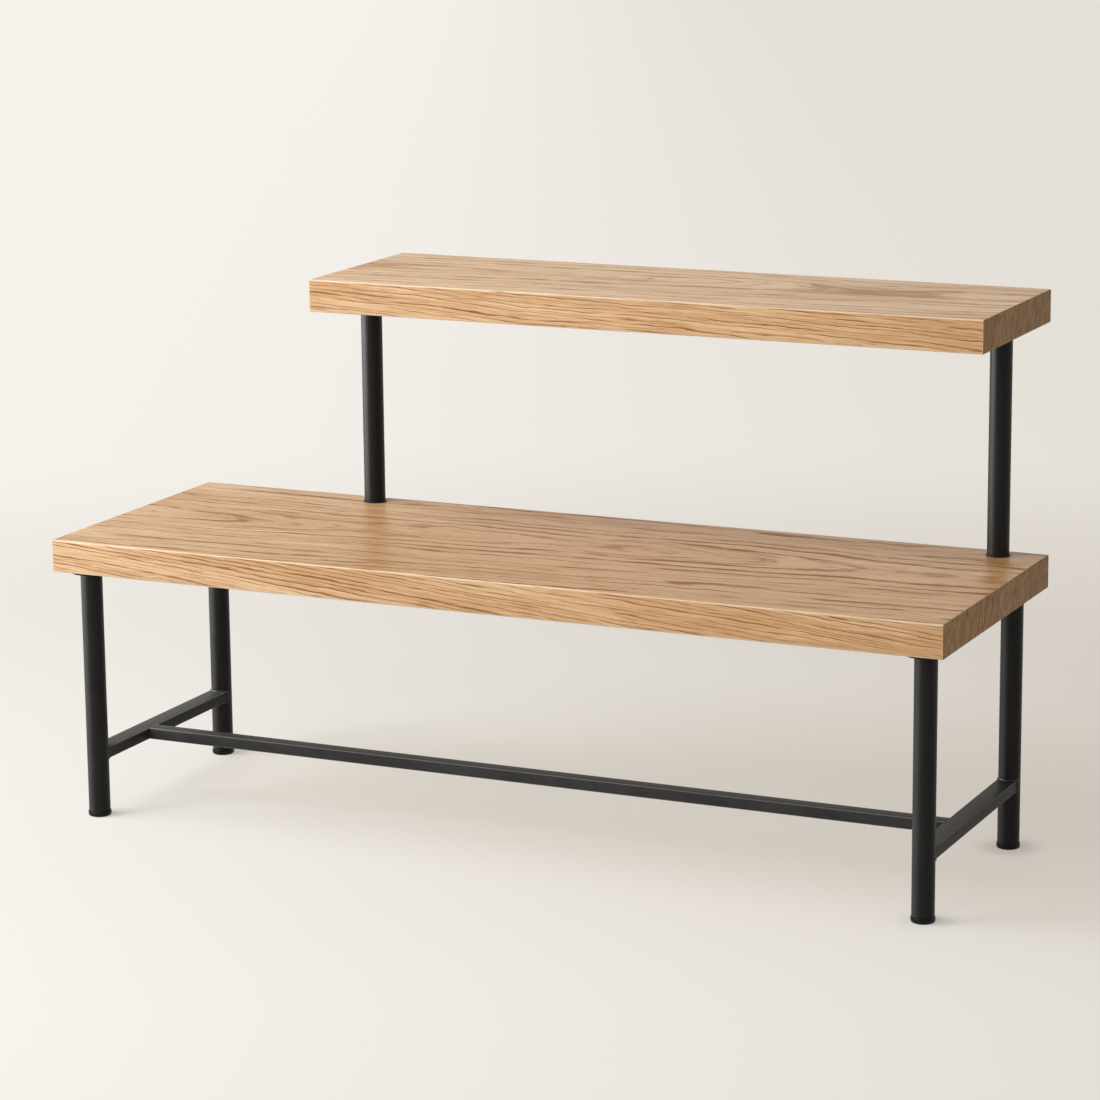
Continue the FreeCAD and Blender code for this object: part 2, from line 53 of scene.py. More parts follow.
class Wire:
    # one output socket; sums, differences, products and quotients of it add Math nodes to its tree
    def __init__(self, shade, socket):
        self.shade = shade
        self.socket = socket

    def math(self, operation, first, second=0.0):
        return self.shade.node("ShaderNodeMath", {"operation": operation}, {0: first, 1: second})

    def __add__(self, other):
        return self.math("ADD", self, other)

    def __radd__(self, other):
        return self.math("ADD", other, self)

    def __sub__(self, other):
        return self.math("SUBTRACT", self, other)

    def __rsub__(self, other):
        return self.math("SUBTRACT", other, self)

    def __mul__(self, other):
        return self.math("MULTIPLY", self, other)

    def __rmul__(self, other):
        return self.math("MULTIPLY", other, self)

    def __truediv__(self, other):
        return self.math("DIVIDE", self, other)

    def __abs__(self):
        return self.math("ABSOLUTE", self)

    def root(self):
        return self.math("SQRT", self)

    def whole(self):
        return self.math("FLOOR", self)

    def part(self):
        return self.math("FRACT", self)

    def least(self, other):
        return self.math("MINIMUM", self, other)

    def most(self, other):
        return self.math("MAXIMUM", self, other)

    def centred(self):
        # a noise runs from about 0 to 1; this puts its middle at 0
        return self - 0.5

    def ramp(self, start, end, low=0.0, high=1.0):
        # smooth step from low to high while the value goes from start to end
        settings = {"interpolation_type": "SMOOTHSTEP"}
        return self.shade.node("ShaderNodeMapRange", settings, {0: self, 1: start, 2: end, 3: low, 4: high})


class Shade:
    # the node tree of one material or world
    def __init__(self, owner):
        owner.use_nodes = True
        self.tree = owner.node_tree
        self.tree.nodes.clear()

    def node(self, kind, settings=None, inputs=None, output=0):
        made = self.tree.nodes.new(kind)
        for key, value in (settings or {}).items():
            setattr(made, key, value)
        for key, value in (inputs or {}).items():
            if isinstance(value, Wire):
                self.tree.links.new(value.socket, made.inputs[key])
            else:
                made.inputs[key].default_value = value
        if not made.outputs:
            return None
        return Wire(self, made.outputs[output])

    def place(self):
        # where on the piece a point lies, in metres of the frame
        return self.node("ShaderNodeTexCoord", output="Object")

    def split(self, vector):
        return [self.node("ShaderNodeSeparateXYZ", None, {0: vector}, axis) for axis in range(3)]

    def point(self, x, y, z):
        return self.node("ShaderNodeCombineXYZ", None, {0: x, 1: y, 2: z})

    def facing(self):
        # the three parts of the surface's outward direction
        return self.split(self.node("ShaderNodeNewGeometry", output="Normal"))

    def mark(self, name):
        # a number stored on the mesh's points
        return self.node("ShaderNodeAttribute", {"attribute_name": name}, output="Fac")

    def noise(self, vector, scale, detail, roughness=0.5):
        # fractal noise, about 0 to 1 with 0.5 in the middle
        inputs = {"Vector": vector, "Scale": scale, "Detail": detail, "Roughness": roughness}
        return self.node("ShaderNodeTexNoise", None, inputs)

    def stretched(self, vector, scales, detail, roughness=0.5):
        # noise whose grains are stretched: one scale for each axis, in grains per metre
        mapped = self.node("ShaderNodeMapping", {"vector_type": "POINT"}, {"Vector": vector, "Scale": scales})
        return self.noise(mapped, 1.0, detail, roughness)

    def mix(self, amount, first, second, blend="MIX"):
        first = (*first, 1.0) if isinstance(first, tuple) else first
        second = (*second, 1.0) if isinstance(second, tuple) else second
        settings = {"data_type": "RGBA", "blend_type": blend, "clamp_factor": True}
        return self.node("ShaderNodeMix", settings, {0: amount, 6: first, 7: second}, 2)

    def bump(self, height, strength, distance):
        inputs = {"Height": height, "Strength": strength, "Distance": distance}
        return self.node("ShaderNodeBump", None, inputs)

    def surface(self, inputs):
        shader = self.node("ShaderNodeBsdfPrincipled", None, inputs)
        self.node("ShaderNodeOutputMaterial", None, {"Surface": shader})


def gridFaces(rowCount, columnCount, closedRows, closedColumns):
    # quads between neighbours of a grid of points numbered row by row; a closed direction joins its
    # last points to its first
    rowStart = np.arange(rowCount if closedRows else rowCount - 1)[:, None]
    columnStart = np.arange(columnCount if closedColumns else columnCount - 1)[None, :]
    rowNext = (rowStart + 1) % rowCount
    columnNext = (columnStart + 1) % columnCount
    corners = [rowStart * columnCount + columnStart, rowStart * columnCount + columnNext,
               rowNext * columnCount + columnNext, rowNext * columnCount + columnStart]
    return np.stack([corner.ravel() for corner in corners], axis=1)


steelPieces = bpy.data.collections.new("steel_pieces")
weldDistance = 2e-6  # metres: points nearer than this become one


def putMesh(name, points, faces, material, slot, replaced=(), sharpAngle=35.0, marks=None):
    # welds equal points, drops faces that lost an edge, and puts the piece under the root body, hiding the
    # parts it replaces
    rounded = np.round(points / weldDistance).astype(np.int64)
    _, firstOf, sameAs = np.unique(rounded, axis=0, return_index=True, return_inverse=True)
    quads = sameAs.reshape(-1)[faces]
    kept = quads != np.roll(quads, -1, axis=1)
    corners = kept.sum(axis=1)
    triangles = quads[corners == 3][kept[corners == 3]].reshape(-1, 3)
    mesh = bpy.data.meshes.new(name)
    mesh.from_pydata(points[firstOf].tolist(), [], quads[corners == 4].tolist() + triangles.tolist())
    for key, values in (marks or {}).items():
        attribute = mesh.attributes.new(key, "FLOAT", "POINT")
        attribute.data.foreach_set("value", values[firstOf].astype(np.float32))
    mesh.validate()
    mesh.shade_smooth()
    mesh.set_sharp_from_angle(angle=math.radians(sharpAngle))
    mesh.materials.append(material)
    piece = bpy.data.objects.new(name, mesh)
    bpy.context.scene.collection.objects.link(piece)
    if slot == "black_steel":
        steelPieces.objects.link(piece)
    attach(piece, "root")
    if replaced:
        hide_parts(*replaced)
    return piece


def putSolid(name, surface, material, slot, replaced=(), sharpAngle=35.0, marks=None):
    # a closed surface has positive volume when its faces point outward; otherwise they are turned round
    points, faces = surface
    corner = points[faces]
    volume = np.einsum("ij,ij->i", corner[:, 0], np.cross(corner[:, 1], corner[:, 2])).sum()
    volume += np.einsum("ij,ij->i", corner[:, 0], np.cross(corner[:, 2], corner[:, -1])).sum()
    if volume <= 0:
        faces = faces[:, ::-1]
    return putMesh(name, points, faces, material, slot, replaced, sharpAngle, marks)


def middleOf(low, high):
    # the middle of a box as (x, y), seen from above
    return (low.x + high.x) / 2, (low.y + high.y) / 2


def turned(centre, profile, count=72):
    # a profile of (radius, height) pairs turned about the vertical line through centre;
    # a pair with radius 0 is a pole, which is a point that all of its ring shares
    profile = np.array(profile, float)
    turn = np.linspace(0, 2 * np.pi, count, endpoint=False)
    x = centre[0] + profile[:, :1] * np.cos(turn)
    y = centre[1] + profile[:, :1] * np.sin(turn)
    z = centre[2] + profile[:, 1:] + 0 * turn
    closed = bool(np.allclose(profile[0], profile[-1]))
    points = np.stack([x, y, z], axis=-1)
    if closed:
        points = points[:-1]
    return points.reshape(-1, 3), gridFaces(points.shape[0], count, closed, True)


def arc(centre, radius, start, end, steps):
    # (radius, height) pairs on an arc round centre, from start to end degrees
    angle = np.radians(np.linspace(start, end, steps + 1))
    return [(centre[0] + radius * math.cos(a), centre[1] + radius * math.sin(a)) for a in angle]


# each noise of the wood: the scales of its three coordinates, its detail and its roughness; a scale of 0
# leaves that coordinate to the board's seed
woodNoise = {
    "slow": (1.5, 1.6, 0.0, 1.0, 0.5), "wander": (2.3, 5.0, 0.0, 2.0, 0.5),
    "wave": (7.0, 16.0, 16.0, 3.0, 0.72), "uneven": (1.7, 21.0, 0.0, 3.0, 0.55),
    "streaks": (9.0, 330.0, 60.0, 3.0, 0.6), "wisps": (4.2, 95.0, 0.0, 4.0, 0.6),
    "mottle": (8.0, 30.0, 30.0, 3.0, 0.6), "fade": (9.0, 3.7, 0.0, 3.0, 0.6),
    "curls": (0.0, 26.0, 34.0, 2.0, 0.6), "hairs": (0.0, 430.0, 48.0, 3.0, 0.65),
    "rays": (8.0, 700.0, 42.0, 1.0, 0.5), "fibres": (9.0, 230.0, 420.0, 4.0, 0.65),
    "pores": (95.0, 1500.0, 1500.0, 1.0, 0.5), "dashes": (22.0, 190.0, 420.0, 3.0, 0.6),
    "patches": (3.2, 17.0, 17.0, 3.0, 0.55),
}
# where each value begins and ends to count, and what it counts there unless that is 0 and 1
woodRamps = {
    "endFace": (0.25, 0.5), "edgeFace": (0.6, 0.8), "flatFace": (0.7, 0.71), "graze": (0.1, 0.6, 1.0, 0.0),
    "lineStart": (0.0, 0.06), "fade": (0.36, 0.52, 0.12, 1.0), "lineBreaks": (0.3, 0.55, 0.5, 1.0),
    "streaks": (0.56, 0.72), "wisps": (0.56, 0.66), "pores": (0.56, 0.7), "dashes": (0.56, 0.66),
    "mottle": (0.5, 0.75), "dots": (0.14, 0.36, 1.0, 0.0), "hairs": (0.42, 0.6), "rays": (0.58, 0.74),
    "patches": (0.25, 0.75, -0.5, 0.5), "heartTone": (0.05, 0.42, 1.0, 0.0), "tone": (0.0, 1.0),
    "rubbedAndPaintedHighlight": (0.3, 0.6, 0.45, 1.0),
}
# how the rings' lines are drawn; fine lines lie between them, and chance makes some rings stronger
ringLook = {
    "lineEnd": 0.1, "chance": 0.65, "leastChance": 0.35, "fineRings": 3.0, "fineWave": 0.8, "fineWidth": 0.6,
    "grazeBreak": 1.5, "poresOutside": 0.25, "poresInLine": 0.75, "poresInFine": 0.6,
    "dotsPerMetre": 800.0, "rayTurn": (0.9, 0.42), "hairLean": 0.3, "heartX": 0.06,
}
# how much each mark counts in the tone, in the long faces, in the end grain, in roughness and in depth
toneShare = {"fibres": 1.8, "chance": 0.3, "mottle": 1.0, "mottleGraze": 2.2}
markShare = {
    "lines": 1.5, "linesFlat": 0.1, "linesGraze": 0.75, "fine": 0.5, "fineFlat": 0.25, "pores": 0.15,
    "streaks": 0.5, "dashes": 0.3, "wisps": 0.15, "wispsFlat": 0.3, "wispsGraze": 0.25, "mottle": 0.35,
}
endShare = {"lines": 0.25, "fine": 0.3, "dots": 0.3, "hairs": 0.78, "patches": 0.5, "rays": 0.3}
roughShare = {"plain": 0.35, "marks": 0.16, "fibres": 0.1, "endFace": 0.2, "rubbedAndPaintedHighlight": 0.12}
deepShare = {"pores": 0.5, "streaks": 0.25, "lines": 0.15, "dots": 0.4}
reliefLook = {"strength": 0.35, "depth": 0.00016, "specular": 0.38}


def makeOak(node, board):
    # growth rings as nested surfaces round a heart line that runs along the board and wanders;
    # depth below the top shifts them forward, so they lean in the end grain as they do in the solid
    _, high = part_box(node)
    material = bpy.data.materials.new(f"{node}_oak")
    shade = Shade(material)
    place = shade.place()
    x, y, z = shade.split(place)
    seed = board["seed"]

    def noise(kind, first, second, third, shifts=(0.0, 0.0, 0.0)):
        # the noise over three coordinates, each scaled and then shifted
        *scales, detail, roughness = woodNoise[kind]
        scaled = [value * scale for value, scale in zip((first, second, third), scales)]
        shifted = [value + shift if shift else value for value, shift in zip(scaled, shifts)]
        return shade.noise(shade.point(*shifted), 1.0, detail, roughness)

    def stretched(kind):
        # the noise straight on the board's own coordinates
        *scales, detail, roughness = woodNoise[kind]
        return shade.stretched(place, scales, detail, roughness)

    def ramp(kind, value):
        return value.ramp(*woodRamps[kind])

    along, sideways, upward = shade.facing()
    endFace = ramp("endFace", abs(along))
    edgeFace = ramp("edgeFace", abs(sideways))
    flatFace = ramp("flatFace", abs(upward))
    depth = high.z - z
    lean = board["lean"] + edgeFace * (board["leanFront"] - board["lean"])
    fall = edgeFace * x * board["edgeSlope"]
    curl = noise("curls", 0.0, y, z, (seed, 0.0, 0.0)).centred() * endFace * board["endCurl"]
    across = y + (depth - fall) * lean + depth * depth * board["leanCurve"] + curl
    slow = noise("slow", x, across, 0.0, (seed, 0.0, seed))
    wander = noise("wander", x, across, 0.0, (seed * 2, 0.0, seed + 7))
    wave = noise("wave", x, across, z, (seed, 0.0, 0.0))
    offset = across - board["heartY"] - slow.centred() * board["heartWander"] - x * board["grainSlope"]
    waveSize = board["waveTop"] + edgeFace * (board["waveEdge"] - board["waveTop"])
    offset = offset + wave.centred() * waveSize
    heart = board["heartDepth"] + wander.centred() * board["heartSwell"] + x * board["heartTilt"]
    radius = (offset * offset + heart * heart).root()
    uneven = noise("uneven", x, radius, 0.0, (seed, 0.0, seed * 5))
    ringsPerMetre = board["ringsPerMetre"] + flatFace * (board["flatRings"] - board["ringsPerMetre"])
    # where the face only grazes the rings, near the heart line, the fibres break their lines into patches
    graze = ramp("graze", abs(offset) / radius) * flatFace
    fibres = stretched("fibres")
    ring = radius * ringsPerMetre + uneven.centred() * board["unevenness"]
    ring = ring + fibres.centred() * graze * ringLook["grazeBreak"]

    # streaks follow the rings, fibres follow the board, both long and thin; patches are broad
    streaks = noise("streaks", x, radius, z, (0.0, 0.0, seed))
    pores = stretched("pores")
    dashes = stretched("dashes")
    wisps = noise("wisps", x, radius, 0.0, (0.0, 0.0, seed + 3))
    patches = stretched("patches")
    mottle = noise("mottle", x, offset, z, (0.0, 0.0, seed))

    def ringLines(turns, key, width):
        # one ring: a sharp dark start with open pores, fading into paler late wood, broken into dashes
        number = turns.whole()
        within = turns.part()
        chance = shade.node("ShaderNodeTexWhiteNoise", {"noise_dimensions": "2D"},
                            {"Vector": shade.point(number, key, 0.0)})
        fade = noise("fade", x, number, 0.0, (0.0, 0.0, key))
        early = ramp("lineStart", within) * within.ramp(ringLook["lineEnd"], width, 1.0, 0.0)
        strength = (chance * ringLook["chance"] + ringLook["leastChance"]) * ramp("fade", fade)
        strength = strength * ramp("lineBreaks", streaks)
        return early * strength, early, chance

    lineWidth = board["lineWidth"] + flatFace * (board["flatLineWidth"] - board["lineWidth"])
    lines, early, chance = ringLines(ring, seed, lineWidth)
    fineRing = ring * ringLook["fineRings"] + wave.centred() * ringLook["fineWave"]
    fineLines, fineEarly, _ = ringLines(fineRing, seed + 20, ringLook["fineWidth"])
    streakMarks = ramp("streaks", streaks)
    wispMarks = ramp("wisps", wisps)
    inLine = early.most(fineEarly * ringLook["poresInFine"])
    poreMarks = ramp("pores", pores) * (ringLook["poresOutside"] + ringLook["poresInLine"] * inLine)

    # end grain: pores as dots between fine rays, over hair lines that follow the rings
    dots = shade.node("ShaderNodeTexVoronoi", {"feature": "F1"},
                      {"Vector": place, "Scale": ringLook["dotsPerMetre"]})
    inLine = early.most(fineEarly)
    dotMarks = ramp("dots", dots) * (ringLook["poresOutside"] + ringLook["poresInLine"] * inLine)
    rayCos, raySin = ringLook["rayTurn"]
    rays = noise("rays", x, z * rayCos + y * raySin, y * rayCos - z * raySin)
    hairs = noise("hairs", 0.0, across, z + y * ringLook["hairLean"], (seed, 0.0, 0.0))

    tone = ramp("patches", patches) * board["patchiness"]
    tone = tone + fibres.centred() * toneShare["fibres"] + chance.centred() * toneShare["chance"]
    tone = tone + mottle.centred() * (toneShare["mottle"] + graze * toneShare["mottleGraze"])
    # painted light and shade: tops and long faces each get their own shift of tone, and both grow paler
    # towards the left, where light and sheen are strongest, and warmer towards the right
    tone = tone + flatFace * (x * board["topLightSlope"] + board["topLightShift"])
    tone = tone + edgeFace * (x * board["edgeLightSlope"] + board["edgeLightShift"])
    tone = tone + flatFace * ramp("heartTone", abs(x - ringLook["heartX"])) * board["heartTone"]
    base = shade.mix(ramp("tone", tone + 0.5), board["pale"], board["warm"])
    lineShare = markShare["lines"] + flatFace * markShare["linesFlat"] - graze * markShare["linesGraze"]
    fineShare = markShare["fine"] - flatFace * markShare["fineFlat"]
    wispShare = markShare["wisps"] + flatFace * markShare["wispsFlat"] + graze * markShare["wispsGraze"]
    marks = lines * lineShare + fineLines * fineShare + poreMarks * markShare["pores"]
    marks = marks + streakMarks * markShare["streaks"] + ramp("dashes", dashes) * markShare["dashes"]
    marks = marks + wispMarks * wispShare
    marks = (marks + graze * ramp("mottle", mottle) * markShare["mottle"]).least(1.0)
    longColour = shade.mix(marks * (1.0 - flatFace * (1.0 - board["flatMarks"])), base, board["dark"])
    endMarks = lines * endShare["lines"] + fineLines * endShare["fine"] + dotMarks * endShare["dots"]
    endMarks = endMarks + ramp("hairs", hairs) * endShare["hairs"]
    endMarks = (endMarks + patches.centred() * endShare["patches"]).least(1.0).most(0.0)
    endColour = shade.mix(endMarks, board["endPale"], board["endDark"])
    endColour = shade.mix(ramp("rays", rays) * endShare["rays"], endColour, board["ray"])
    colour = shade.mix(endFace, longColour, endColour)
    # painted highlight, partly rubbed wear: a near-white line along the long faces' eased edges, broken by
    # the fibres, and a little smoother there
    rubbedAndPaintedHighlight = shade.mark("arris") * ramp("rubbedAndPaintedHighlight", fibres) * (1.0 - endFace)
    colour = shade.mix(rubbedAndPaintedHighlight * board["rubAndPaintedHighlight"], colour, board["rubbedAndPaintedHighlight"])

    roughness = roughShare["plain"] + marks * roughShare["marks"] + fibres.centred() * roughShare["fibres"]
    roughness = roughness + endFace * roughShare["endFace"] - rubbedAndPaintedHighlight * roughShare["rubbedAndPaintedHighlight"]
    height = 1.0 - poreMarks * deepShare["pores"] - streakMarks * deepShare["streaks"]
    height = height - lines * deepShare["lines"] - endFace * dotMarks * deepShare["dots"]
    relief = shade.bump(height, reliefLook["strength"], reliefLook["depth"])
    shade.surface({"Base Color": colour, "Roughness": roughness, "Normal": relief,
                   "Specular IOR Level": reliefLook["specular"]})
    return material


oakBase = {
    "lean": 0.52, "leanFront": 2.5, "leanCurve": -2.2, "edgeSlope": 0.06, "endCurl": 0.022,
    "ringsPerMetre": 85.0, "flatRings": 52.0, "unevenness": 3.2, "lineWidth": 0.38,
    "flatLineWidth": 0.32, "flatMarks": 1.0, "waveTop": 0.02, "waveEdge": 0.026,
    "heartWander": 0.08, "heartSwell": 0.07, "heartTilt": 0.055, "heartDepth": 0.055,
    "grainSlope": 0.02, "patchiness": 0.8, "topLightSlope": 0.1, "topLightShift": 0.3,
    "heartTone": 0.0, "edgeLightShift": 0.1, "edgeLightSlope": 0.12,
    "pale": (0.775, 0.523, 0.3), "warm": (0.62, 0.365, 0.17), "dark": (0.25, 0.095, 0.014),
    "endPale": (0.65, 0.362, 0.15), "endDark": (0.27, 0.124, 0.04), "ray": (0.76, 0.47, 0.23),
    # colour and strength of the painted highlight along the eased edges, partly rubbed wear
    "rubbedAndPaintedHighlight": (0.96, 0.82, 0.65), "rubAndPaintedHighlight": 0.48,
}
lowerOak = makeOak("lower_board", {**oakBase, "heartY": -0.03, "seed": 3.7, "heartTone": 0.7})
upperOak = makeOak("upper_board", {**oakBase, "heartY": 0.15, "seed": 11.2, "ringsPerMetre": 105.0,
                                   "edgeSlope": 0.03, "flatMarks": 0.7, "topLightSlope": 0.25,
                                   "topLightShift": -0.3, "edgeLightShift": 0.07, "edgeLightSlope": 0.3})
print("oak ready")


def makeCoat(name, look):
    # powder coat: a fine orange-peel skin over slow thickness changes, paler on top faces, partly from dust
    # and partly from a painted sheen
    material = bpy.data.materials.new(name)
    shade = Shade(material)
    place = shade.place()
    peel = shade.noise(place, look["peelScale"], 2.0)
    slow = shade.noise(place, look["slowScale"], 3.0)
    specks = shade.noise(place, look["speckScale"], 1.0)
    upward = shade.facing()[2].ramp(*look["dustAndSheenFacing"])
    # painted sheen, partly dust: faces that look upward are made paler
    dustAndSheen = upward * look["dustAndSheen"] * slow.ramp(*look["slowReach"], look["leastDustAndSheen"], 1.0)
    colour = shade.mix(slow.ramp(*look["slowReach"]), look["deep"], look["light"])
    colour = shade.mix(dustAndSheen, colour, look["dustAndSheenColour"])
    colour = shade.mix(specks.ramp(*look["speckReach"]) * look["speckShare"], colour, look["dustAndSheenColour"])
    # painted highlight, partly worn paint: a paler line along the rounded corners
    colour = shade.mix(shade.mark("arris") * look["arrisWearAndPaintedHighlight"], colour, look["arrisWearAndHighlightColour"])
    roughness = look["roughness"] + slow.centred() * look["slowRough"] + peel.centred() * look["peelRough"]
    roughness = roughness + dustAndSheen * look["dustAndSheenRough"]
    relief = shade.bump(peel, look["peelStrength"], look["peelDepth"])
    shade.surface({"Base Color": colour, "Roughness": roughness, "Normal": relief,
                   "Specular IOR Level": look["specular"], "Sheen Weight": look["sheen"],
                   "Sheen Roughness": look["sheenRoughness"]})
    return material


coatLook = {
    "deep": (0.006, 0.006, 0.0062), "light": (0.009, 0.009, 0.0091), "slowScale": 14.0,
    "slowReach": (0.3, 0.7), "slowRough": 0.14, "dustAndSheenColour": (0.11, 0.105, 0.095), "dustAndSheen": 0.04,
    "leastDustAndSheen": 0.4, "dustAndSheenFacing": (0.4, 0.95), "dustAndSheenRough": 0.2, "speckScale": 2600.0,
    "speckReach": (0.66, 0.76), "speckShare": 0.12, "arrisWearAndHighlightColour": (0.17, 0.166, 0.158), "arrisWearAndPaintedHighlight": 0.0,
    "roughness": 0.4, "specular": 0.17, "sheen": 0.02, "sheenRoughness": 0.35,
    "peelScale": 950.0, "peelDepth": 0.00012, "peelStrength": 0.5, "peelRough": 0.08,
}
# the bars' corners get a painted highlight that is partly worn paint
barLooks = {**coatLook, "deep": (0.032, 0.032, 0.032), "light": (0.044, 0.044, 0.0434),
            "specular": 0.06, "sheen": 0.0, "arrisWearAndPaintedHighlight": 0.85}
weldLooks = {**coatLook, "peelScale": 1500.0, "roughness": 0.36, "specular": 0.5}
capLooks = {**coatLook, "deep": (0.003, 0.003, 0.003), "light": (0.005, 0.005, 0.005), "roughness": 0.32,
            "peelScale": 420.0, "peelDepth": 0.00005, "dustAndSheen": 0.02, "specular": 0.2, "sheen": 0.0}
screwLooks = {**coatLook, "deep": (0.02, 0.02, 0.02), "light": (0.035, 0.034, 0.033), "roughness": 0.5,
              "peelScale": 2400.0, "dustAndSheen": 0.0}
blackCoat = makeCoat("black_powder_coat", coatLook)
barCoat = makeCoat("bar_powder_coat", barLooks)
weldCoat = makeCoat("painted_weld", weldLooks)
capPlastic = makeCoat("foot_cap_plastic", capLooks)
screwBlack = makeCoat("screw_phosphate", screwLooks)

bareLook = {
    "deep": (0.52, 0.52, 0.50), "light": (0.62, 0.62, 0.63), "slowScale": 90.0, "slowReach": (0.3, 0.7),
    "markScales": (60.0, 60.0, 3000.0), "markRough": 0.2, "markStrength": 0.3, "markDepth": 0.0001,
    "roughness": 0.3,
}


def makeBareSteel():
    # zinc-plated steel with fine turning marks
    look = bareLook
    material = bpy.data.materials.new("zinc_plated_steel")
    shade = Shade(material)
    place = shade.place()
    marks = shade.stretched(place, look["markScales"], 2.0)
    slow = shade.noise(place, look["slowScale"], 2.0)
    colour = shade.mix(slow.ramp(*look["slowReach"]), look["deep"], look["light"])
    roughness = look["roughness"] + marks.centred() * look["markRough"]
    relief = shade.bump(marks, look["markStrength"], look["markDepth"])
    shade.surface({"Base Color": colour, "Metallic": 1.0, "Roughness": roughness, "Normal": relief})
    return material


slotMaterials = {"oak": lowerOak, "black_steel": blackCoat, "black_plastic": capPlastic,
                 "black_screw": screwBlack, "bare_steel": makeBareSteel()}
slotOfNode = {part["node"]: part["material_slot"] for part in frame["record"]["subparts"]}
for node, thing in frame["nodes"].items():
    for index in range(len(thing.data.materials)):
        thing.data.materials[index] = slotMaterials[slotOfNode[node]]
print("metal and plastic ready")


boardLook = {
    "edgeRadius": 0.0019, "edgeWander": 0.12, "slowWander": (21, 17), "quickWander": (47, -31),
    "spacing": 0.012, "arcSteps": 4, "hold": 0.0008, "recessLip": 0.0001, "cleatGap": 0.0005,
}


def edgeLines(half, radius):
    # grid positions along one axis: even between the eased edges, then by equal angle over each edge's
    # arc; hold keeps the last even line close to the arc, so that the flat is shaded flat
    turn = np.tan(np.radians(np.linspace(0, 45, boardLook["arcSteps"] + 1)))
    flat = half - radius
    hold = boardLook["hold"]
    even = np.linspace(-flat + hold, flat - hold, max(3, int(2 * flat / boardLook["spacing"])))
    return np.concatenate([-flat - radius * turn[::-1], even, flat + radius * turn])


def slab(low, high, recesses):
    # each point of a box is pulled to the inner box, smaller by the edge radius, and pushed back out by
    # that radius; the radius wanders a little, as a hand-eased edge does. Recesses lift the underside
    # inside their outline
    low = np.array(low)
    high = np.array(high)
    centre = (low + high) / 2
    half = (high - low) / 2
    radius = boardLook["edgeRadius"]
    lines = [edgeLines(h, radius) for h in half]
    lip = boardLook["recessLip"]
    for x0, x1, y0, y1, _ in recesses:
        around = [[x0, x0 + lip, x1 - lip, x1], [y0, y0 + lip, y1 - lip, y1]]
        for axis in (0, 1):
            extra = np.array(around[axis]) - centre[axis]
            lines[axis] = np.unique(np.concatenate([lines[axis], extra]))
    blocks = []
    faces = []
    start = 0
    for axis in range(3):
        first, second = [other for other in range(3) if other != axis]
        for side in (-1, 1):
            grid = np.zeros((len(lines[first]), len(lines[second]), 3))
            grid[:, :, axis] = side * half[axis]
            grid[:, :, first] = lines[first][:, None]
            grid[:, :, second] = lines[second][None, :]
            block = gridFaces(len(lines[first]), len(lines[second]), False, False)
            # a block's faces look down their axis, or up it for the middle one; inward ones are turned
            inward = (side > 0) == (axis != 1)
            faces.append((block[:, ::-1] if inward else block) + start)
            blocks.append(grid.reshape(-1, 3))
            start += grid.shape[0] * grid.shape[1]
    box = np.concatenate(blocks)
    slowX, slowY = boardLook["slowWander"]
    quickX, quickY = boardLook["quickWander"]
    wander = np.sin(box[:, 0] * slowX + box[:, 1] * slowY)
    wander = wander + np.sin(box[:, 0] * quickX + box[:, 1] * quickY + 2 * box[:, 2] / half[2])
    eased = radius * (1 - boardLook["edgeWander"] * (0.5 + 0.25 * wander))
    inner = np.clip(box, -(half - radius), half - radius)
    away = box - inner
    length = np.linalg.norm(away, axis=1, keepdims=True)
    # the shorter radius is kept tangent to the three faces by moving its centre out with it
    near = np.clip(box, -(half - eased[:, None]), half - eased[:, None])
    points = near + eased[:, None] * away / length
    flatSide = np.isclose(length[:, 0], radius)
    points[flatSide] = (inner + radius * away / length)[flatSide]
    points += centre
    for x0, x1, y0, y1, rise in recesses:
        inside = lip / 2
        within = (points[:, 0] > x0 + inside) & (points[:, 0] < x1 - inside)
        within &= (points[:, 1] > y0 + inside) & (points[:, 1] < y1 - inside)
        within &= points[:, 2] < low[2] + weldDistance / 2
        points[within, 2] += rise
    return points, np.concatenate(faces), {"arris": np.where(flatSide, 0.0, 1.0)}


def addBoard(node, material):
    # an eased slab in the node's box; the upper board's underside has a recess round each cleat
    low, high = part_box(node)
    recesses = []
    if node == "upper_board":
        gap = boardLook["cleatGap"]
        for side in sides:
            cleatLow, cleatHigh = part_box(f"{side}_post_cleat")
            recesses.append((cleatLow.x - gap, cleatHigh.x + gap, cleatLow.y - gap, cleatHigh.y + gap,
                             cleatHigh.z - cleatLow.z))
    points, faces, marks = slab(low, high, recesses)
    return putMesh(f"{node}_wood", points, faces, material, "oak", [node], marks=marks)


lowerWood = addBoard("lower_board", lowerOak)
upperWood = addBoard("upper_board", upperOak)
print("boards made:", len(lowerWood.data.polygons), len(upperWood.data.polygons), "faces")


beadLook = {"sides": 12, "dropSwell": 0.13, "driftSwell": 0.06, "driftWaves": 3, "driftShift": 900,
            "sharpAngle": 80.0}


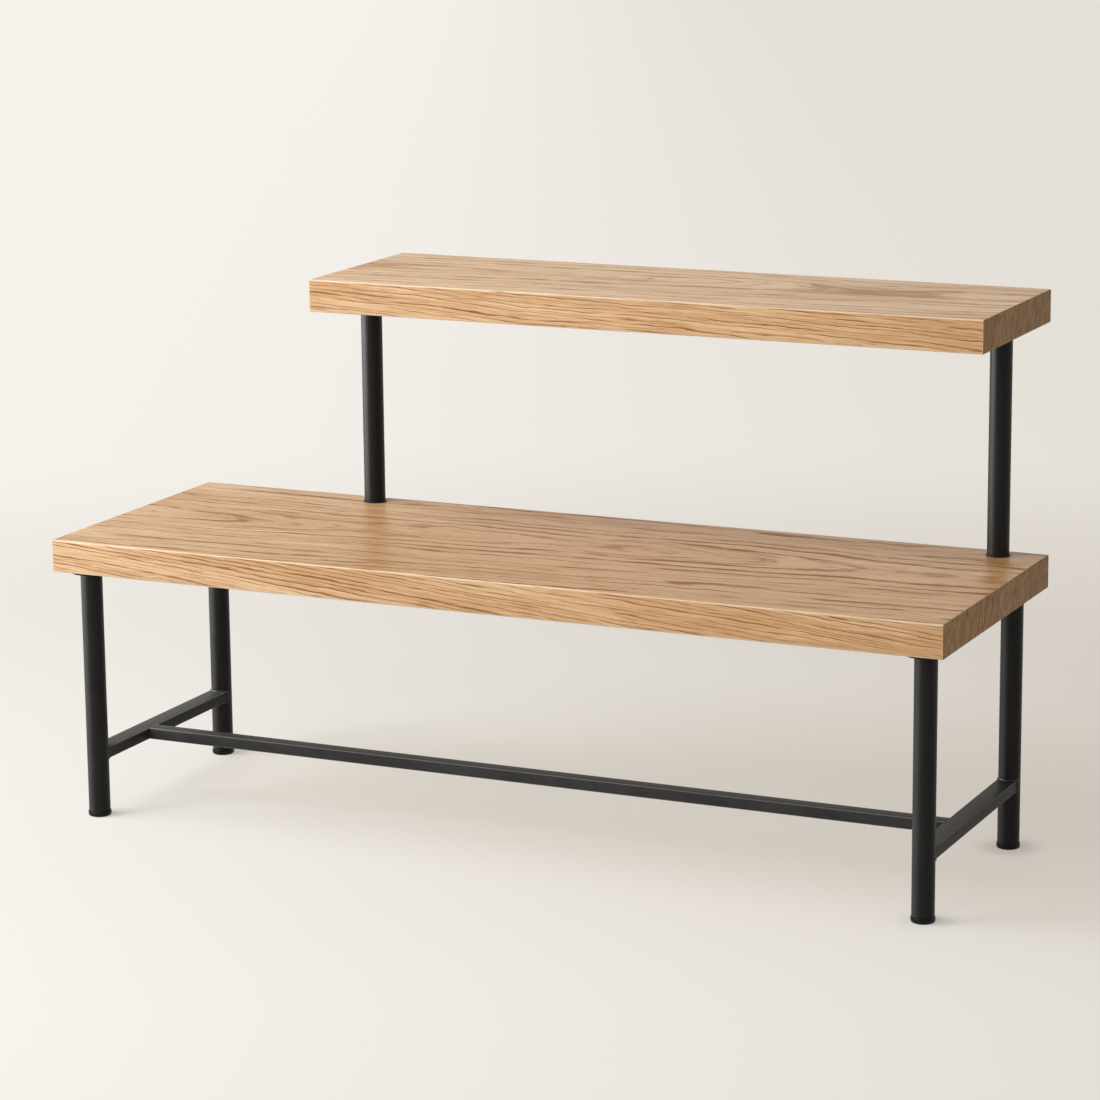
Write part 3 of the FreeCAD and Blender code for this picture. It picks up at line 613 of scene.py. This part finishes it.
def addBead(name, centreLine, outward, along, size, drops):
    # a weld bead: a small circle carried round a closed line, its radius swelling and shrinking with each
    # drop; outward and along are the two unit directions of the circle at each point of the line
    count = len(centreLine)
    share = np.arange(count) / count
    dropWave = np.cos(2 * np.pi * drops * share)
    driftWave = np.sin(2 * np.pi * beadLook["driftWaves"] * share + size * beadLook["driftShift"])
    swell = size * (1 + beadLook["dropSwell"] * dropWave + beadLook["driftSwell"] * driftWave)
    turn = np.linspace(0, 2 * np.pi, beadLook["sides"], endpoint=False)
    ring = np.cos(turn)[None, :, None] * outward[:, None, :]
    ring = ring + np.sin(turn)[None, :, None] * along[:, None, :]
    points = centreLine[:, None, :] + swell[:, None, None] * ring
    surface = points.reshape(-1, 3), gridFaces(count, beadLook["sides"], True, True)
    putSolid(name, surface, weldCoat, "black_steel", sharpAngle=beadLook["sharpAngle"])


tubeLook = {
    "wall": 0.002, "ease": 0.0005, "beadStations": 180, "beadDrops": 30, "beadOut": 0.2,
    "legBead": 0.0014, "legBeadDrop": 0.0008, "postBead": 0.0009, "postBeadDrop": 0.0006,
}


def addTube(node, beadName, beadSize, beadDrop):
    # outer wall, top rim, inner wall and bottom rim as one closed turned profile with eased rims,
    # and a weld bead round the outer wall a little below its top
    low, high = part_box(node)
    centre = middleOf(low, high)
    outer = (high.x - low.x) / 2
    inner = outer - tubeLook["wall"]
    ease = tubeLook["ease"]
    profile = [(outer, low.z + ease), (outer, high.z - ease), (outer - ease, high.z),
               (inner + ease, high.z), (inner, high.z - ease), (inner, low.z + ease),
               (inner + ease, low.z), (outer - ease, low.z), (outer, low.z + ease)]
    putSolid(f"{node}_tube", turned((*centre, 0.0), profile), blackCoat, "black_steel", [node])
    turn = np.linspace(0, 2 * np.pi, tubeLook["beadStations"], endpoint=False)
    outward = np.stack([np.cos(turn), np.sin(turn), 0 * turn], axis=1)
    line = outward * (outer + tubeLook["beadOut"] * beadSize) + np.array([*centre, high.z - beadDrop])
    upward = np.zeros_like(outward)
    upward[:, 2] = 1.0
    addBead(beadName, line, outward, upward, beadSize, tubeLook["beadDrops"])


capShape = {
    "height": 0.007, "foot": 0.0026, "footSteps": 8, "solePad": 0.004, "soleRise": 0.0004,
    "soleBevel": 0.0034, "groove": 0.0005, "grooveAt": 0.0056, "lip": 0.0006, "lipIn": 0.0002, "lipSteps": 4,
    "plug": 0.0114, "rib": 0.0119, "ribCount": 3, "ribPitch": 0.005, "ribRise": 0.0005, "ribFall": 0.0015,
    "ribEnd": 0.002, "plugWall": 0.0025, "floor": 0.003, "sharpAngle": 40.0,
}


def addFootCap(node):
    # foot with a rounded tread edge, a moulding groove and a lip under the tube, then the ribbed plug
    low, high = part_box(node)
    radius = (high.x - low.x) / 2
    foot, groove, at = capShape["foot"], capShape["groove"], capShape["grooveAt"]
    lip, height, plug, rib = capShape["lip"], capShape["height"], capShape["plug"], capShape["rib"]
    profile = [(0, capShape["soleRise"]), (radius - foot - capShape["solePad"], capShape["soleRise"]),
               (radius - foot - capShape["soleBevel"], 0.0)]
    profile += arc((radius - foot, foot), foot, -90, 0, capShape["footSteps"])
    profile += [(radius, at - groove), (radius - groove, at - 0.3 * groove),
                (radius - groove, at + 0.3 * groove), (radius - 0.2 * lip, at + groove)]
    lipCentre = (radius - lip - capShape["lipIn"], height - lip)
    profile += arc(lipCentre, lip, 10, 90, capShape["lipSteps"])
    profile += [(plug, height)]
    for index in range(capShape["ribCount"]):
        start = height + (index + 0.5) * capShape["ribPitch"]
        profile += [(plug, start), (rib, start + capShape["ribRise"]), (rib, start + capShape["ribFall"]),
                    (plug, start + capShape["ribEnd"])]
    top = high.z - low.z
    bore = plug - capShape["plugWall"]
    profile += [(plug, top), (bore, top), (bore, capShape["floor"]), (0, capShape["floor"])]
    putSolid(f"{node}_moulding", turned((*middleOf(low, high), low.z), profile), capPlastic,
             "black_plastic", [node], capShape["sharpAngle"])


collarShape = {"hole": 0.0041, "foot": 0.0004, "round": 0.0009, "roundSteps": 5}


def addCollar(node):
    # a flat ring with a small bevel at its foot and a rounded top edge, turned about its hole
    low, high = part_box(node)
    reach = (high.x - low.x) / 2
    thick = high.z - low.z
    hole, foot, easing = collarShape["hole"], collarShape["foot"], collarShape["round"]
    profile = [(hole, 0.0), (reach - foot, 0.0), (reach, foot)]
    profile += arc((reach - easing, thick - easing), easing, 0, 90, collarShape["roundSteps"])
    profile += [(hole, thick), (hole, 0.0)]
    name = node.replace("washer", "collar")
    putSolid(name, turned((*middleOf(low, high), low.z), profile), blackCoat, "black_steel", [node])


for side in sides:
    for row in rows:
        addTube(f"{row}_{side}_leg", f"{row}_{side}_plate_weld", tubeLook["legBead"], tubeLook["legBeadDrop"])
        addFootCap(f"{row}_{side}_foot_cap")
    addTube(f"{side}_post", f"{side}_cleat_weld", tubeLook["postBead"], tubeLook["postBeadDrop"])
    addCollar(f"{side}_post_washer")
print("tubes, caps and collars made")


barLook = {
    "corner": 0.0012, "leastCorner": 0.0003, "wall": 0.0015, "cornerSteps": 5, "endGap": 0.0002,
    "railStations": 24, "stretcherStations": 60, "bead": 0.0013, "beadDrops": 24, "beadStations": 160,
    "beadOut": 0.0003, "beadBack": 0.0004, "beadCornerSteps": 12,
}


def barSection(width, height, corner, steps):
    # outline of a rounded rectangle as (sideways, up) pairs, corner by corner
    points = []
    for signX, signZ, start in ((1, 1, 0), (-1, 1, 90), (-1, -1, 180), (1, -1, 270)):
        centre = (signX * (width / 2 - corner), signZ * (height / 2 - corner))
        points += arc(centre, corner, start, start + 90, steps)
    return np.array(points)


def barSkin(width, height, shrink):
    # the bar's outline, drawn in by shrink on every side
    corner = max(barLook["corner"] - shrink, barLook["leastCorner"])
    return barSection(width - 2 * shrink, height - 2 * shrink, corner, barLook["cornerSteps"])


def evenly(outline, count):
    # points at equal steps along a closed outline, and the outline's unit tangent at each of them
    steps = np.linalg.norm(np.roll(outline, -1, axis=0) - outline, axis=1)
    walked = np.concatenate([[0], np.cumsum(steps)])
    even = np.linspace(0, walked[-1], count, endpoint=False)
    looped = np.vstack([outline, outline[:1]])
    points = np.stack([np.interp(even, walked, looped[:, axis]) for axis in (0, 1)], axis=1)
    tangent = np.roll(points, -1, axis=0) - np.roll(points, 1, axis=0)
    return points, tangent / np.linalg.norm(tangent, axis=1, keepdims=True)


def addBar(node, skins, stations):
    # outer skin from start to end, then the inner skin back again: one closed wall. Its mark is 1 inside
    # each rounded corner of the outer skin, and 0 at the corner's ends and on the inner skin
    outerStart, outerEnd, innerStart, innerEnd = skins
    share = np.linspace(0, 1, stations)[:, None, None]
    outer = outerStart + share * (outerEnd - outerStart)
    inner = innerEnd + share * (innerStart - innerEnd)
    grid = np.concatenate([outer, inner])
    surface = grid.reshape(-1, 3), gridFaces(2 * stations, grid.shape[1], True, True)
    corner = np.ones(barLook["cornerSteps"] + 1)
    corner[[0, -1]] = 0
    outerMarks = np.tile(corner, 4 * stations)
    marks = {"arris": np.concatenate([outerMarks, 0 * outerMarks])}
    putSolid(f"{node}_bar", surface, barCoat, "black_steel", [node], marks=marks)


def addSideRail(side):
    # the section's points run along Y until they meet the legs' round walls, where a bead follows them
    node = f"{side}_side_rail"
    low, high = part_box(node)
    legs = {row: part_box(f"{row}_{side}_leg") for row in rows}
    legX = middleOf(*legs["front"])[0]
    legY = {row: middleOf(*legs[row])[1] for row in rows}
    radius = (legs["front"][1].x - legs["front"][0].x) / 2
    width = high.x - low.x
    height = high.z - low.z
    middle = (high.z + low.z) / 2
    skins = []
    for shrink in (0.0, barLook["wall"]):
        section = barSkin(width, height, shrink)
        reach = np.sqrt(radius ** 2 - section[:, 0] ** 2) - barLook["endGap"]
        for row in rows:
            y = legY[row] - rows[row] * reach
            skins.append(np.stack([legX + section[:, 0], y, middle + section[:, 1]], axis=1))
    addBar(node, skins, barLook["railStations"])
    out = barLook["beadOut"]
    corner = barLook["corner"] + out
    outline = barSection(width + 2 * out, height + 2 * out, corner, barLook["beadCornerSteps"])
    points, tangent = evenly(outline, barLook["beadStations"])
    level = np.zeros(len(points))
    outward = np.stack([tangent[:, 1], level, -tangent[:, 0]], axis=1)
    along = np.zeros_like(outward)
    along[:, 1] = 1.0
    for row in rows:
        onLeg = legY[row] - rows[row] * np.sqrt(radius ** 2 - points[:, 0] ** 2)
        y = onLeg - rows[row] * barLook["beadBack"]
        line = np.stack([legX + points[:, 0], y, middle + points[:, 1]], axis=1)
        addBead(f"{row}_{side}_rail_weld", line, outward, along, barLook["bead"], barLook["beadDrops"])


def addStretcher():
    # the section's points run along X, their ends square against the side rails
    low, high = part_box("long_stretcher")
    skins = []
    for shrink in (0.0, barLook["wall"]):
        section = barSkin(high.y - low.y, high.z - low.z, shrink)
        y = (low.y + high.y) / 2 + section[:, 0]
        z = (low.z + high.z) / 2 + section[:, 1]
        skins += [np.stack([low.x + 0 * y, y, z], axis=1), np.stack([high.x + 0 * y, y, z], axis=1)]
    addBar("long_stretcher", skins, barLook["stretcherStations"])


for side in sides:
    addSideRail(side)
addStretcher()
print("rail frame made")


# the backdrop's colour runs from left to right and lifts towards the front, seen along sweepTurn in
# degrees; within nearRadius the floor shows shadows, and beyond farRadius it is plain backdrop
stageLook = {
    "floorColour": (0.56, 0.55, 0.54),
    "leftColour": (0.913, 0.885, 0.835), "rightColour": (0.783, 0.741, 0.687), "sweepReach": (-1.1, 1.3),
    "farColour": (0.85, 0.81, 0.76), "farReach": (22.0, 45.0), "sweepTurn": 24.911,
    "frontColour": (0.96, 0.925, 0.875), "frontShare": 0.38, "frontReach": (0.1, 0.8),
    "shadowTint": (1.0, 0.97, 0.92), "litTint": (1.0, 1.067, 1.178),
    "plainShare": 0.66, "nearRadius": 1.0, "farRadius": 2.6, "footShare": 0.66, "footReach": (0.013, 0.052),
    "firstRing": 0.4, "floorRadius": 60.0, "ringCount": 40, "spokes": 96,
    "roomLight": 0.18, "roomColour": (1.0, 0.985, 0.965), "lampColour": (1.0, 0.99, 0.975),
}


def shownRays(shade):
    # 1 for what the camera sees directly, in a reflection or through glass
    seen, mirrored, through = [shade.node("ShaderNodeLightPath", output=f"Is {kind} Ray")
                               for kind in ("Camera", "Glossy", "Transmission")]
    return seen.most(mirrored).most(through)


def addFloor():
    # a disc of rings whose spacing grows outward
    look = stageLook
    spread = np.geomspace(look["firstRing"], look["floorRadius"], look["ringCount"])
    points, faces = turned((0, 0, 0), [(r, 0.0) for r in [0.0, *spread]], look["spokes"])
    mesh = bpy.data.meshes.new("floor")
    mesh.from_pydata(points.tolist(), [], faces[:, ::-1].tolist())
    floor = bpy.data.objects.new("floor", mesh)
    bpy.context.scene.collection.objects.link(floor)
    material = bpy.data.materials.new("floor_paper")
    shade = Shade(material)
    x, y, _ = shade.split(shade.place())
    far = (x * x + y * y).root()
    turn = math.radians(look["sweepTurn"])
    rightward = x * math.cos(turn) + y * math.sin(turn)
    sweep = shade.mix(rightward.ramp(*look["sweepReach"]), look["leftColour"], look["rightColour"])
    sweep = shade.mix(far.ramp(*look["farReach"]), sweep, look["farColour"])
    distant = far.ramp(look["nearRadius"], look["farRadius"])
    frontward = x * math.sin(turn) - y * math.cos(turn)
    front = frontward.ramp(*look["frontReach"]) * (1.0 - distant) * look["frontShare"]
    sweep = shade.mix(front, sweep, look["frontColour"])
    shown = shownRays(shade)
    share = (look["plainShare"] + distant * (1.0 - look["plainShare"])) * shown
    # nearby, the part that shadows leave is warmer and the part that light adds is cooler than the sweep
    warm = shade.mix(1.0, sweep, look["shadowTint"], "MULTIPLY")
    cool = shade.mix(1.0, sweep, look["litTint"], "MULTIPLY")
    # the shadows are deepest at the feet: by symmetry one distance serves all four legs
    low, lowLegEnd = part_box("front_left_leg")
    _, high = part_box("rear_right_leg")
    radius = lowLegEnd.x / 2 - low.x / 2
    legX = (high.x - low.x) / 2 - radius
    legY = (high.y - low.y) / 2 - radius
    middleY = (low.y + high.y) / 2
    sideways = abs(x) - legX
    lengthways = abs(y - middleY) - legY
    near = (sideways * sideways + lengthways * lengthways).root()
    share = share * near.ramp(*look["footReach"], look["footShare"], 1.0)
    litColour = shade.mix(shown, look["floorColour"], cool)
    plainColour = shade.mix(distant, warm, sweep)
    lit = shade.node("ShaderNodeBsdfDiffuse", None, {"Color": litColour})
    plain = shade.node("ShaderNodeEmission", None, {"Color": plainColour, "Strength": 1.0})
    both = shade.node("ShaderNodeMixShader", None, {0: share, 1: lit, 2: plain})
    shade.node("ShaderNodeOutputMaterial", None, {"Surface": both})
    mesh.materials.append(material)


def placed(axes, place):
    # the matrix of something that stands at place, its own axes in the columns of axes
    return Matrix([[*axes[i], place[i]] for i in range(3)] + [[0, 0, 0, 1]])


cameraLook = {"place": (1.9470, -4.2236, 1.3912), "yaw": 24.911, "pitch": 12.531, "roll": 0.552,
              "focalPixels": 3741.2, "framePixels": 1100, "sensor": 36.0, "sight": 100.0}


def addCamera():
    # forward from yaw and pitch, right along the horizon, both then turned by the roll
    yaw, pitch, roll = (math.radians(cameraLook[key]) for key in ("yaw", "pitch", "roll"))
    level = math.cos(pitch)
    forward = np.array([-math.sin(yaw) * level, math.cos(yaw) * level, -math.sin(pitch)])
    right = np.array([math.cos(yaw), math.sin(yaw), 0.0])
    down = np.cross(forward, right)
    turnedRight = math.cos(roll) * right + math.sin(roll) * down
    turnedDown = -math.sin(roll) * right + math.cos(roll) * down
    data = bpy.data.cameras.new("camera")
    data.sensor_width = cameraLook["sensor"]
    data.lens = cameraLook["focalPixels"] / cameraLook["framePixels"] * cameraLook["sensor"]
    data.clip_end = cameraLook["sight"]
    camera = bpy.data.objects.new("camera", data)
    axes = np.stack([turnedRight, -turnedDown, -forward], axis=1)
    camera.matrix_world = placed(axes, cameraLook["place"])
    bpy.context.scene.collection.objects.link(camera)
    bpy.context.scene.camera = camera


# azimuth is where the lamp stands, in degrees from +X, and height is its angle above the level of lift;
# the edge lamp only draws the bright lines along the steel, and lights nothing else
lampLook = {
    "key": {"azimuth": -150, "height": 46, "distance": 2.9, "size": (1.5, 2.2), "watts": 66, "lift": 0.35},
    "side": {"azimuth": -134, "height": 6, "distance": 5.5, "size": (1.4, 1.5), "watts": 116, "lift": 0.3},
    "front": {"azimuth": -92, "height": 30, "distance": 4.6, "size": (2.6, 1.8), "watts": 54, "lift": 0.35},
    "edge": {"azimuth": -161, "height": 2, "distance": 5.2, "size": (4.6, 1.1), "watts": 480, "lift": 0.4,
             "onlySteel": True},
}


def addLamps():
    for name, look in lampLook.items():
        azimuth = math.radians(look["azimuth"])
        height = math.radians(look["height"])
        level = math.cos(height)
        back = np.array([level * math.cos(azimuth), level * math.sin(azimuth), math.sin(height)])
        sideways = np.array([-math.sin(azimuth), math.cos(azimuth), 0.0])
        axes = np.stack([sideways, np.cross(back, sideways), back], axis=1)
        data = bpy.data.lights.new(name, "AREA")
        data.shape = "RECTANGLE"
        data.size, data.size_y = look["size"]
        data.energy = look["watts"]
        data.color = stageLook["lampColour"]
        lamp = bpy.data.objects.new(f"{name}_lamp", data)
        lamp.matrix_world = placed(axes, back * look["distance"] + np.array([0, 0, look["lift"]]))
        lamp.visible_camera = False
        if look.get("onlySteel"):
            lamp.light_linking.receiver_collection = steelPieces
            lamp.visible_diffuse = False
        bpy.context.scene.collection.objects.link(lamp)


def addWorld():
    # the room's light on things, and the backdrop's far colour where it is seen
    world = bpy.data.worlds.new("room")
    bpy.context.scene.world = world
    shade = Shade(world)
    shown = shownRays(shade)
    colour = shade.mix(shown, stageLook["roomColour"], stageLook["farColour"])
    strength = shown.ramp(0.0, 1.0, stageLook["roomLight"], 1.0)
    backdrop = shade.node("ShaderNodeBackground", None, {"Color": colour, "Strength": strength})
    shade.node("ShaderNodeOutputWorld", None, {"Surface": backdrop})


addFloor()
addCamera()
addLamps()
addWorld()
bpy.context.scene.view_settings.view_transform = "Standard"
print("stage, camera and lamps made")
